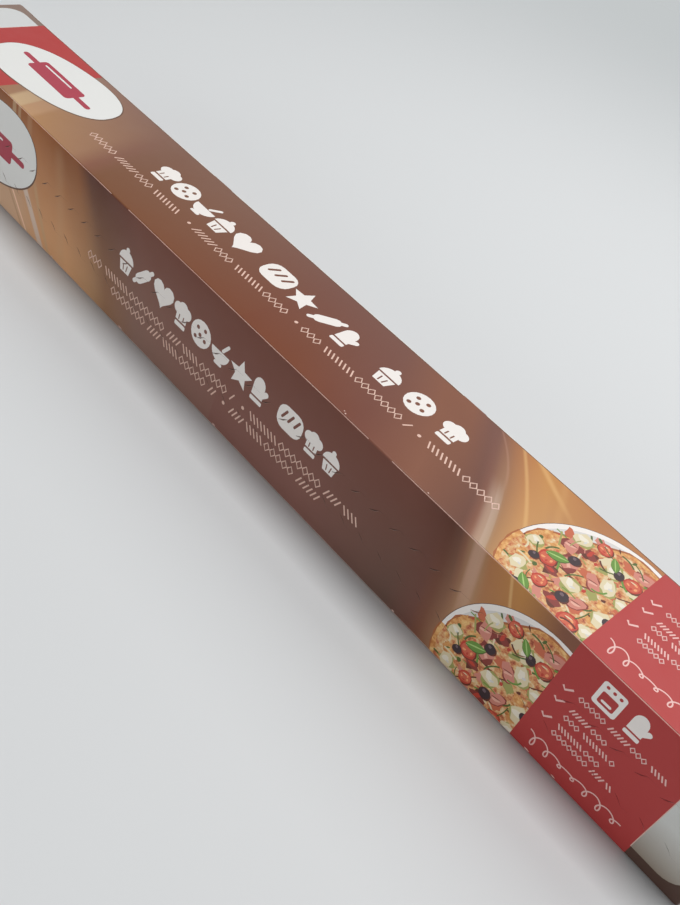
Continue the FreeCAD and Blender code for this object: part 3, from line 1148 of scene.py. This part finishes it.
def carton_walls(card, print_sizes):
    """The four walls and the two closed ends behind the flaps, as one closed skin with its print."""
    flat, triangles, ink = printed_triangles(card, carton_print(card, print_sizes))
    places = card.wrap(flat[:, 0], flat[:, 1])

    # Normals are taken just inside each triangle, so that the edges of the scores stay crisp
    just_inside = 0.03
    centres = flat[triangles].mean(1, keepdims=True)
    taken_at = flat[triangles] + (centres - flat[triangles]) * just_inside
    loop_normals = card.normals(taken_at[..., 0], taken_at[..., 1]).reshape(-1, 3).tolist()

    # The flat skin's first and last girth are one edge of the folded one
    first = {round(x, 3): i for i, (x, girth) in enumerate(flat) if girth < card.lowest_girth + SAME_PLACE}
    same = np.arange(len(flat))
    for i, (x, girth) in enumerate(flat):
        if girth > card.highest_girth - SAME_PLACE:
            same[i] = first[round(x, 3)]

    inks = carton_inks(card)
    slots = {name: number for number, name in enumerate(inks)}
    faces = same[triangles].tolist()
    face_slots = [slots[name] for name in ink]
    for side in SIDES:
        at_end = (abs(flat[:, 0] - side * card.end) < SAME_PLACE) & (same == np.arange(len(flat)))
        rim = [int(i) for i in np.argsort(flat[:, 1]) if at_end[i]]
        faces.append(rim if side < 0 else rim[::-1])
        face_slots.append(slots["end_frame"])
        loop_normals.extend([(side, 0, 0)] * len(rim))

    mesh = bpy.data.meshes.new("carton_walls")
    used = sorted({i for face in faces for i in face})
    renumbered = {old: new for new, old in enumerate(used)}
    mesh.from_pydata([tuple(places[i] * MM) for i in used], [],
                     [[renumbered[i] for i in face] for face in faces])
    for material in inks.values():
        mesh.materials.append(material)
    mesh.polygons.foreach_set("material_index", face_slots)
    mesh.polygons.foreach_set("use_smooth", [True] * len(faces))
    mesh.normals_split_custom_set(loop_normals)
    mesh.update()
    return mesh


def add_object(name, data):
    thing = bpy.data.objects.new(name, data)
    bpy.context.scene.collection.objects.link(thing)
    return thing


# An end flap: the largest radius of its fold as a share of its stand-off, its thickness as a share of the
# card's, the hollow of its middle, the angle of its sharp edges, and the material slots of its faces
FLAP_FOLD_SHARE = 0.8
FLAP_THICKNESS_SHARE = 0.95
FLAP_HOLLOW = 0.12
SHARP_ANGLE = math.radians(50)
PRINTED_FACE, BARE_FACE = 0, 1


def add_flap(shape, side, outer_x, fold_z, free_z, half_width, card):
    """One folded end flap as a closed plate: a rounded fold, a flat, cut corners and a slight hollow."""
    sizes = card.sizes
    away = math.copysign(1, free_z - fold_z)
    radius = min(sizes.fold_radius, FLAP_FOLD_SHARE * (outer_x - card.end))
    thick = FLAP_THICKNESS_SHARE * min(sizes.card_thickness, radius)
    fold_steps, flat_steps, across = 6, 10, 12
    layers = []
    path = [(card.end, fold_z)]
    for i in range(fold_steps + 1):
        turn = i / fold_steps * math.pi / 2
        path.append((outer_x - radius + radius * math.sin(turn),
                     fold_z + away * radius * (1 - math.cos(turn))))
    levels = {*np.linspace(path[-1][1], free_z, flat_steps + 1), free_z - away * sizes.flap_corner}
    path.extend((outer_x, z) for z in sorted(levels, key=lambda z: away * z)[1:])
    for layer in (0, 1):
        grid = []
        for k, (x, z) in enumerate(path):
            x0, z0 = path[max(k - 1, 0)]
            x1, z1 = path[min(k + 1, len(path) - 1)]
            run = math.hypot(x1 - x0, z1 - z0)
            out_x, out_z = abs(z1 - z0) / run, -away * abs(x1 - x0) / run
            half = half_width - max(0.0, sizes.flap_corner - away * (free_z - z))
            down = math.sin(min(abs(z - fold_z) / abs(free_z - fold_z), 1) * math.pi)
            row = []
            for i in range(across + 1):
                y = half * (2 * i / across - 1)
                depth = layer * thick + FLAP_HOLLOW * math.cos(y / half_width * math.pi / 2) * down
                place = side * (x - out_x * depth) * MM, y * MM, (z - out_z * depth) * MM
                row.append(shape.verts.new(place))
            grid.append(row)
        layers.append(grid)
    outer, inner = layers

    def face(corners, slot=BARE_FACE):
        made = shape.faces.new(corners)
        made.material_index = slot
        made.smooth = True

    for k in range(len(path) - 1):
        for i in range(across):
            face((outer[k][i], outer[k][i + 1], outer[k + 1][i + 1], outer[k + 1][i]), PRINTED_FACE)
            face((inner[k][i], inner[k + 1][i], inner[k + 1][i + 1], inner[k][i + 1]))
        for i in (0, across):
            face((outer[k][i], outer[k + 1][i], inner[k + 1][i], inner[k][i]))
    for k in (0, len(path) - 1):
        for i in range(across):
            face((outer[k][i], outer[k][i + 1], inner[k][i + 1], inner[k][i]))


def end_flaps(card):
    """The inner and outer flap of both ends."""
    sizes = card.sizes
    shape = bmesh.new()
    half_width = card.depth / 2 + sizes.skin_inset - sizes.flap_play
    inner_half = half_width - sizes.card_thickness - sizes.fold_radius
    outer_x = card.outer_end - sizes.skin_inset
    inner_x = card.outer_end - sizes.card_thickness - sizes.skin_inset
    for side in SIDES:
        add_flap(shape, side, inner_x, card.base, sizes.inner_flap_reach, inner_half, card)
        add_flap(shape, side, outer_x, card.top, sizes.outer_flap_rise, half_width, card)
    mesh = finished_mesh("carton_end_flaps", shape)
    mesh.set_sharp_from_angle(angle=SHARP_ANGLE)
    for name in ("end_frame", "bare_card"):
        mesh.materials.append(bpy.data.materials[name])
    return mesh


def finished_mesh(name, shape):
    """A bmesh, with its faces turned outwards, as a mesh."""
    bmesh.ops.recalc_face_normals(shape, faces=shape.faces)
    mesh = bpy.data.meshes.new(name)
    shape.to_mesh(mesh)
    shape.free()
    return mesh


# --- Geometry Nodes: tear rows and rows of fine ornament, drawn flat and then folded round the carton ---

def new_node_tree(name, input_kinds):
    """A Geometry Nodes group with a geometry input and output and these named inputs."""
    tree = bpy.data.node_groups.new(name, "GeometryNodeTree")
    for input_name, kind in {"Geometry": "Geometry", **input_kinds}.items():
        tree.interface.new_socket(input_name, in_out="INPUT", socket_type="NodeSocket" + kind)
    tree.interface.new_socket("Geometry", in_out="OUTPUT", socket_type="NodeSocketGeometry")
    make = node_maker(tree)
    return tree, make, make("NodeGroupInput").node.outputs


def finish_tree(make, geometry, material):
    real = make("GeometryNodeRealizeInstances", {"Geometry": geometry})
    inked = make("GeometryNodeSetMaterial", {"Geometry": real, "Material": material})
    make("NodeGroupOutput", {"Geometry": inked})


def run_tree(tree, flat_mesh, values, card, name):
    """Runs a tree on a flat mesh and returns its result, folded round the carton, as a plain mesh."""
    carrier = add_object(name + "_carrier", flat_mesh)
    modifier = carrier.modifiers.new(tree.name, "NODES")
    modifier.node_group = tree
    for item in tree.interface.items_tree:
        if item.in_out == "INPUT" and item.name in values:
            modifier[item.identifier] = values[item.name]
    evaluated = carrier.evaluated_get(bpy.context.evaluated_depsgraph_get())
    mesh = bpy.data.meshes.new_from_object(evaluated)
    bpy.data.objects.remove(carrier)
    flat = np.zeros(len(mesh.vertices) * 3)
    mesh.vertices.foreach_get("co", flat)
    flat = flat.reshape(-1, 3)
    mesh.vertices.foreach_set("co", (card.wrap(flat[:, 0], flat[:, 1], flat[:, 2]) * MM).ravel())
    mesh.update()
    mesh.name = name
    return mesh


def joined_rows(name, rows):
    shape = bmesh.new()
    for mesh in rows:
        shape.from_mesh(mesh)
    joined = finished_mesh(name, shape)
    for material in rows[0].materials:
        joined.materials.append(material)
    return joined


def flat_points(name, points):
    """A mesh of loose flat points (x, girth, out)."""
    mesh = bpy.data.meshes.new(name)
    mesh.from_pydata(points, [], [])
    return mesh


def vector(make, x=0.0, y=0.0, z=0.0):
    return make("ShaderNodeCombineXYZ", {"X": x, "Y": y, "Z": z})


def flat_stroke(make, curve, width, thickness, finish=None):
    """A stroke of even thickness along a curve."""
    level = make("GeometryNodeSetCurveNormal", {"Curve": curve}, mode="Z_UP")
    profile = make("GeometryNodeCurvePrimitiveQuadrilateral", {"Width": width, "Height": thickness})
    return make("GeometryNodeCurveToMesh", {"Curve": level, "Profile Curve": profile, **(finish or {})})


def indexed(make, kind, index, values):
    """A field that takes one of a few values by index."""
    node = make("GeometryNodeIndexSwitch", data_type=kind).node
    while len(node.index_switch_items) < len(values):
        node.index_switch_items.new()
    for number, value in enumerate((index, *values)):
        if isinstance(value, bpy.types.NodeSocket):
            node.id_data.links.new(value, node.inputs[number])
        else:
            node.inputs[number].default_value = value
    return node.outputs[0]


# A hooked cut's widths at its start, its widest point and its bend, and where that point lies on the slant
HOOK_WIDTHS = (0.25, 1.0, 0.2)
WIDEST_POINT = 0.55

# Thickness of slits and lifted edges, and the lower row's widths as a share of the upper one's
SLIT_THICKNESS = 0.07
LIP_THICKNESS = 0.1
LOWER_ROW_OPEN = 0.45

# A lifted edge beside a cut: its far end's width, its part of the cut's flat and its shift along the row
LIP_TAIL = 0.1
LIP_FLAT_SHARE = 0.12
LIP_SHIFT = 0.6


def cut_row_tree():
    """A row of hooked strokes, each a slant that is widest in its middle and leads to a fine flat."""
    sizes = ("Pitch", "Slant Run", "Slant Rise", "Flat Run", "Width", "Thickness", "Tail")
    kinds = {"Cuts": "Int", **dict.fromkeys(sizes, "Float"), "Ink": "Material"}
    tree, make, inputs = new_node_tree("cut_row", kinds)
    start = vector(make, 0.0, inputs["Slant Rise"])
    bend = vector(make, inputs["Slant Run"])
    stop = vector(make, maths(make, "ADD", inputs["Slant Run"], inputs["Flat Run"]))
    both = make("ShaderNodeVectorMath", {0: start, 1: bend}, operation="ADD")
    middle = make("ShaderNodeVectorMath", {0: both, "Scale": WIDEST_POINT}, operation="SCALE")
    index = make("GeometryNodeInputIndex")
    place = indexed(make, "VECTOR", index, (start, middle, bend, stop))
    width_share = indexed(make, "FLOAT", index, (*HOOK_WIDTHS, inputs["Tail"]))
    points = make("GeometryNodeMeshLine", {"Count": 4})
    hook = make("GeometryNodeSetPosition", {"Geometry": points, "Position": place})
    line = make("GeometryNodeMeshToCurve", {"Mesh": hook})
    ends = {"Scale": width_share, "Fill Caps": True}
    stroke = flat_stroke(make, line, inputs["Width"], inputs["Thickness"], ends)
    row = make("GeometryNodeMeshLine", {"Count": inputs["Cuts"], "Offset": vector(make, inputs["Pitch"])},
               mode="OFFSET")
    spots = make("GeometryNodeInstanceOnPoints", {"Points": row, "Instance": stroke})
    first = make("GeometryNodeInputPosition")
    foot = make("GeometryNodeSampleIndex", {"Geometry": inputs["Geometry"], "Value": first, "Index": 0},
                data_type="FLOAT_VECTOR")
    placed = make("GeometryNodeTransform", {"Geometry": spots, "Translation": foot})
    finish_tree(make, placed, inputs["Ink"])
    return tree


# The slits and their lifted edges are coloured after the print that they cut: each slit darker than that
# print, as painted shade inside the cut, and each lifted edge lighter, as a painted highlight. Zones run from
# the left end to the right one, and change between two shares of the carton's length.
ZONE_CHANGES = ((0.045, 0.05), (0.072, 0.075), (0.76, 0.775), (0.845, 0.85), (0.952, 0.956))
CUT_ZONES = ((150, 144, 138), (112, 40, 36), (70, 44, 34), (118, 74, 52), (128, 40, 40), (150, 144, 138))
LIFTED_EDGE_ZONES = ((214, 212, 208), (184, 70, 68), (150, 122, 108), (206, 158, 112), (184, 68, 66),
                     (214, 212, 208))


def zone_ink(name, card, zones):
    stops = []
    for (stop, start), before, after in zip(ZONE_CHANGES, zones, zones[1:]):
        stops += [(stop, before), (start, after)]
    return card_ink(name, along_axis("X", -card.outer_end, card.outer_end, stops))


def tear_rows(card, tear):
    """The slits of both tear rows and, below each, the lifted edge of the card. The slits carry painted shade
    and the lifted edges a painted highlight.
    """
    tree = cut_row_tree()
    end = card.outer_end
    room = 2 * end - tear.row_start - tear.row_end - tear.slant_run - tear.flat_run
    shared = {"Cuts": int(room / tear.pitch) + 1, "Pitch": tear.pitch, "Slant Run": tear.slant_run}
    # The slits' cut ink is painted shade inside the cut; the lifted edges' ink is a painted highlight.
    slit = {"Width": tear.cut_width, "Thickness": SLIT_THICKNESS, "Tail": tear.tail_share,
            "Flat Run": tear.flat_run,
            "Ink": zone_ink("cut", card, CUT_ZONES)}
    lip = {"Width": tear.lip_width, "Thickness": LIP_THICKNESS, "Tail": LIP_TAIL,
           "Flat Run": tear.flat_run * LIP_FLAT_SHARE,
           "Ink": zone_ink("lifted_edge", card, LIFTED_EDGE_ZONES)}
    upper = -tear.upper_row_drop
    for name, finish, beside in (("tear_slits", slit, 0.0),
                                 ("tear_lips", lip, (tear.cut_width + tear.lip_width) / 2)):
        rows = []
        for girth, rise, open_share in ((upper, -tear.slant_rise, 1.0),
                                        (upper - tear.strip_width, tear.slant_rise, LOWER_ROW_OPEN)):
            values = {**shared, **finish, "Slant Rise": rise, "Width": finish["Width"] * open_share}
            foot = flat_points("row_foot", [(tear.row_start - end + beside * LIP_SHIFT, girth - beside, 0.0)])
            rows.append(run_tree(tree, foot, values, card, "row"))
        yield joined_rows(name, rows)


# Ornament marks: a diamond's width to its height, a dash's lean in radians and a dot's radius to the stroke.
# Then, to the pitch of diamonds, the pitch of the other marks and the gap between two runs
DIAMOND_WIDTH = 0.74
DASH_LEAN = 0.5
DOT_RADIUS = 1.3
CLOSE_PITCH = 0.6
RUN_GAP = 0.45


def ornament_tree():
    """Small marks on the points of a line: open diamonds, dashes and dots, chosen by each point's kind."""
    kinds = {"Height": "Float", "Stroke": "Float", "Thickness": "Float", "Ink": "Material"}
    tree, make, inputs = new_node_tree("ornament", kinds)
    height, stroke, thickness = inputs["Height"], inputs["Stroke"], inputs["Thickness"]
    half = maths(make, "MULTIPLY", height, 0.5)
    width = maths(make, "MULTIPLY", height, DIAMOND_WIDTH)
    kite = make("GeometryNodeCurvePrimitiveQuadrilateral",
                {"Width": width, "Bottom Height": half, "Top Height": half}, mode="KITE")
    diamond = flat_stroke(make, kite, stroke, thickness)
    dash = make("GeometryNodeMeshCube", {"Size": vector(make, stroke, height, thickness)})
    leaning = [make("GeometryNodeTransform", {"Geometry": dash, "Rotation": (0, 0, side * DASH_LEAN)})
               for side in SIDES]
    radius = maths(make, "MULTIPLY", stroke, DOT_RADIUS)
    dot = make("GeometryNodeMeshCylinder", {"Vertices": 10, "Radius": radius, "Depth": thickness})
    choices = make("GeometryNodeJoinGeometry")
    for mark in reversed((diamond, *leaning, dot)):
        tree.links.new(make("GeometryNodeGeometryToInstance", {"Geometry": mark}), choices.node.inputs[0])
    kind = make("GeometryNodeInputNamedAttribute", {"Name": "kind"}, data_type="INT")
    marks = make("GeometryNodeInstanceOnPoints", {"Points": inputs["Geometry"], "Instance": choices,
                                                  "Pick Instance": True, "Instance Index": kind})
    finish_tree(make, marks, inputs["Ink"])
    return tree


DIAMOND, LEAN_RIGHT, LEAN_LEFT, DOT = range(4)
ORNAMENT_RUNS = ((DIAMOND, 5), (LEAN_RIGHT, 6), (DIAMOND, 3), (LEAN_LEFT, 8), (DIAMOND, 7), (LEAN_RIGHT, 4),
                 (LEAN_LEFT, 5))

# Lines of fine ornament below the headings: where each starts and stops, its drop and its first run
TOP_LINES = ((-99.5, -49, 28.4, 0), (-41, 5, 28.4, 1), (13, 59, 28.4, 2), (67, 94, 28.4, 3))
FRONT_LINES = ((-71.5, 8, 27.4, 2), (16, 66, 27.4, 3), (-56.5, 0, 32, 4), (8, 51, 32, 5))

# Dots between those lines, and lines on the red block as (drop, stop)
TOP_DOTS = ((-45, 28.4), (9, 28.4), (63, 28.4))
FRONT_DOTS = ((12, 27.4), (4, 32))
TOP_RED_LINES = ((13.3, 169), (18.2, 156), (21.3, 160), (25.8, 158), (28.7, 152))
FRONT_RED_LINES = ((14.5, 171), (19.7, 156.5), (23.1, 160), (27.2, 157.5), (30.2, 163.5))
RED_LINES_START = 143.6
RED_LINES_PITCH, RED_LINES_HEIGHT, RED_LINES_STROKE = 1.75, 2.0, 0.42


def ornament_line(panel, x0, x1, drop, pitch, first_run):
    """Marks from x0 to x1 at a drop: short runs of one kind, with a gap between runs."""
    marks = []
    x = x0
    run = first_run
    while x <= x1:
        kind, count = ORNAMENT_RUNS[run % len(ORNAMENT_RUNS)]
        step = pitch if kind == DIAMOND else pitch * CLOSE_PITCH
        for _ in range(count):
            if x <= x1:
                marks.append((x, panel.girth(drop), kind))
            x += step
        x += pitch * RUN_GAP
        run += 1
    return marks


def fine_ornament(card, sizes):
    """The rows of fine marks below the headings and on the right red block."""
    tree = ornament_tree()
    below_heading = []
    on_red = []
    for panel, lines, dots, red_lines in ((card.top_panel, TOP_LINES, TOP_DOTS, TOP_RED_LINES),
                                          (card.front_panel, FRONT_LINES, FRONT_DOTS, FRONT_RED_LINES)):
        for x0, x1, drop, run in lines:
            below_heading += ornament_line(panel, x0, x1, drop, sizes.mark_pitch, run)
        below_heading += [(x, panel.girth(drop), DOT) for x, drop in dots]
        for run, (drop, stop) in enumerate(red_lines):
            on_red += ornament_line(panel, RED_LINES_START, stop, drop, RED_LINES_PITCH, run)
    for marks, height, stroke, ink in ((below_heading, sizes.mark_height, sizes.mark_stroke, "fine_line"),
                                       (on_red, RED_LINES_HEIGHT, RED_LINES_STROKE, "red_block_line")):
        flat = flat_points("marks", [(x, girth, 0.0) for x, girth, _ in marks])
        flat.attributes.new("kind", "INT", "POINT").data.foreach_set("value", [kind for _, _, kind in marks])
        values = {"Height": height, "Stroke": stroke, "Thickness": sizes.ink_thickness,
                  "Ink": bpy.data.materials[ink]}
        yield run_tree(tree, flat, values, card, "ornament_" + ink)


# --- Operators ---

def add_piece(mesh, replaces_solid=False):
    """Adds a finished piece and ties it to the carton's body."""
    thing = add_object(mesh.name, mesh)
    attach(thing, BODY)
    if replaces_solid:
        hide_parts(NODE)


class MakeWalls(bpy.types.Operator):
    """Make the carton's printed walls as one closed skin"""
    bl_idname = "baking_carton.walls"
    bl_label = "Printed walls"

    def execute(self, context):
        card = FoldedCard(settings("carton_sizes"))
        add_piece(carton_walls(card, settings("carton_print")), replaces_solid=True)
        return {"FINISHED"}


class MakeEndFlaps(bpy.types.Operator):
    """Make the folded and glued flaps at both ends"""
    bl_idname = "baking_carton.end_flaps"
    bl_label = "End flaps"

    def execute(self, context):
        add_piece(end_flaps(FoldedCard(settings("carton_sizes"))))
        return {"FINISHED"}


class MakeTearRows(bpy.types.Operator):
    """Make the slits and lifted edges of the two tear rows"""
    bl_idname = "baking_carton.tear_rows"
    bl_label = "Tear rows"

    def execute(self, context):
        for mesh in tear_rows(FoldedCard(settings("carton_sizes")), settings("carton_tear")):
            add_piece(mesh)
        return {"FINISHED"}


class MakeFineOrnament(bpy.types.Operator):
    """Make the rows of fine ornament marks"""
    bl_idname = "baking_carton.fine_ornament"
    bl_label = "Fine ornament"

    def execute(self, context):
        for mesh in fine_ornament(FoldedCard(settings("carton_sizes")), settings("carton_print")):
            add_piece(mesh)
        return {"FINISHED"}


class MakeStudio(bpy.types.Operator):
    """Make the pale floor, the soft lights and the camera"""
    bl_idname = "baking_carton.studio"
    bl_label = "Studio"

    def execute(self, context):
        studio = settings("carton_studio")
        low, high = CAD_BOX
        middle = (low + high) / 2
        add_floor(studio, middle, low.z)
        add_sky(context.scene, studio)
        for name, offset, tilt, size, watts in (
            ("overhead", (0.1, 0.17, 1.15), 0, (1.0, 0.36), studio.lamp_power),
            ("behind", (0.35, 0.7, 0.85), -math.atan2(0.7, 0.85), (1.0, 0.6), studio.back_power),
            ("front_fill", (-0.2, -1.3, 0.4), math.atan2(1.3, 0.4), (1.0, 0.5), studio.fill_power),
        ):
            add_lamp(name, middle + Vector(offset), tilt, size, watts)
        add_camera(context.scene, studio, middle)
        context.scene.view_settings.view_transform = "Standard"
        return {"FINISHED"}


def add_floor(studio, middle, level):
    """A pale floor that fades into the backdrop where the camera sees it far away."""
    half = 3.0
    mesh = bpy.data.meshes.new("floor")
    corners = box_shape(middle.x - half, middle.x + half, middle.y - half, middle.y + half)
    mesh.from_pydata([(x, y, level) for x, y in corners], [], [(0, 1, 2, 3)])
    material = bpy.data.materials.new("floor")
    make = cleared(material)
    near = make("ShaderNodeBsdfPrincipled", {"Base Color": (*studio.floor_colour, 1), "Roughness": 0.75,
                                             "Specular IOR Level": 0.2})
    far = make("ShaderNodeEmission", {"Color": (*studio.backdrop_colour, 1), "Strength": 1.0})
    place = make("ShaderNodeTexCoord", output="Object")
    away = make("ShaderNodeVectorMath", {0: place}, output="Value", operation="LENGTH")
    faded = remapped(make, away, studio.floor_fades * MM, studio.floor_faded * MM, easing="SMOOTHSTEP")
    seen = make("ShaderNodeLightPath", output="Is Camera Ray")
    both = make("ShaderNodeMixShader", {0: maths(make, "MULTIPLY", faded, seen), 1: near, 2: far})
    make("ShaderNodeOutputMaterial", {"Surface": both})
    mesh.materials.append(material)
    add_object("floor", mesh)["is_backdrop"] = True


def add_sky(scene, studio):
    """Even light from all round. Seen directly or in a reflection, the sky is as pale as the floor."""
    world = bpy.data.worlds.new("sky")
    make = cleared(world)
    light_path = make("ShaderNodeLightPath").node.outputs
    seen = maths(make, "MAXIMUM", light_path["Is Camera Ray"], light_path["Is Glossy Ray"])
    seen = maths(make, "MAXIMUM", seen, light_path["Is Transmission Ray"])
    glow = make("ShaderNodeBackground", {"Color": (0.98, 0.99, 1, 1), "Strength": studio.sky_strength})
    backdrop = make("ShaderNodeBackground", {"Color": (*studio.backdrop_colour, 1), "Strength": 1.0})
    both = make("ShaderNodeMixShader", {0: seen, 1: glow, 2: backdrop})
    make("ShaderNodeOutputWorld", {"Surface": both})
    scene.world = world


def add_lamp(name, place, tilt, size, watts):
    """A soft rectangular light. Untilted it shines straight down; the tilt turns it about X."""
    lamp = bpy.data.lights.new(name, "AREA")
    lamp.shape = "RECTANGLE"
    lamp.size, lamp.size_y = size
    lamp.energy = watts
    thing = add_object(name, lamp)
    thing.location = place
    thing.rotation_euler = (tilt, 0, 0)


def add_camera(scene, studio, middle):
    camera = bpy.data.cameras.new("camera")
    camera.lens = studio.lens
    camera.clip_start, camera.clip_end = 0.01, 20
    thing = add_object("camera", camera)
    aim = middle + Vector((studio.aim_x, -studio.aim_front, 0)) * MM
    level = math.cos(studio.elevation)
    back = Vector((math.sin(studio.azimuth) * level, -math.cos(studio.azimuth) * level,
                   math.sin(studio.elevation)))
    facing = (-back).to_track_quat("-Z", "Y").to_matrix().to_4x4()
    thing.matrix_world = (Matrix.Translation(aim + back * studio.distance * MM) @ facing
                          @ Matrix.Rotation(studio.roll, 4, "Z"))
    scene.camera = thing


OPERATORS = (MakeWalls, MakeEndFlaps, MakeTearRows, MakeFineOrnament, MakeStudio)


class CartonPanel(bpy.types.Panel):
    """Lists the carton's pieces and their settings"""
    bl_idname = "VIEW3D_PT_baking_carton"
    bl_label = "Baking paper carton"
    bl_space_type = "VIEW_3D"
    bl_region_type = "UI"
    bl_category = "Carton"

    def draw(self, context):
        for operator in OPERATORS:
            self.layout.operator(operator.bl_idname)
        for name in PROPERTY_GROUPS:
            group = getattr(context.scene, name)
            column = self.layout.column(heading=type(group).__name__)
            for item in setting_items(group):
                column.prop(group, item.identifier)


def register():
    for each in (*PROPERTY_GROUPS.values(), *OPERATORS, CartonPanel):
        bpy.utils.register_class(each)
    for name, group in PROPERTY_GROUPS.items():
        setattr(bpy.types.Scene, name, PointerProperty(type=group))


def unregister():
    for name in PROPERTY_GROUPS:
        delattr(bpy.types.Scene, name)
    for each in (CartonPanel, *OPERATORS, *PROPERTY_GROUPS.values()):
        bpy.utils.unregister_class(each)


def main():
    register()
    for operator in OPERATORS:
        group, action = operator.bl_idname.split(".")
        getattr(getattr(bpy.ops, group), action)()
    boxes = {"cad": CAD_BOX, "visual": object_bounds()}
    {name: [list(corner) for corner in corners] for name, corners in boxes.items()}


if __name__ == "__main__":
    main()
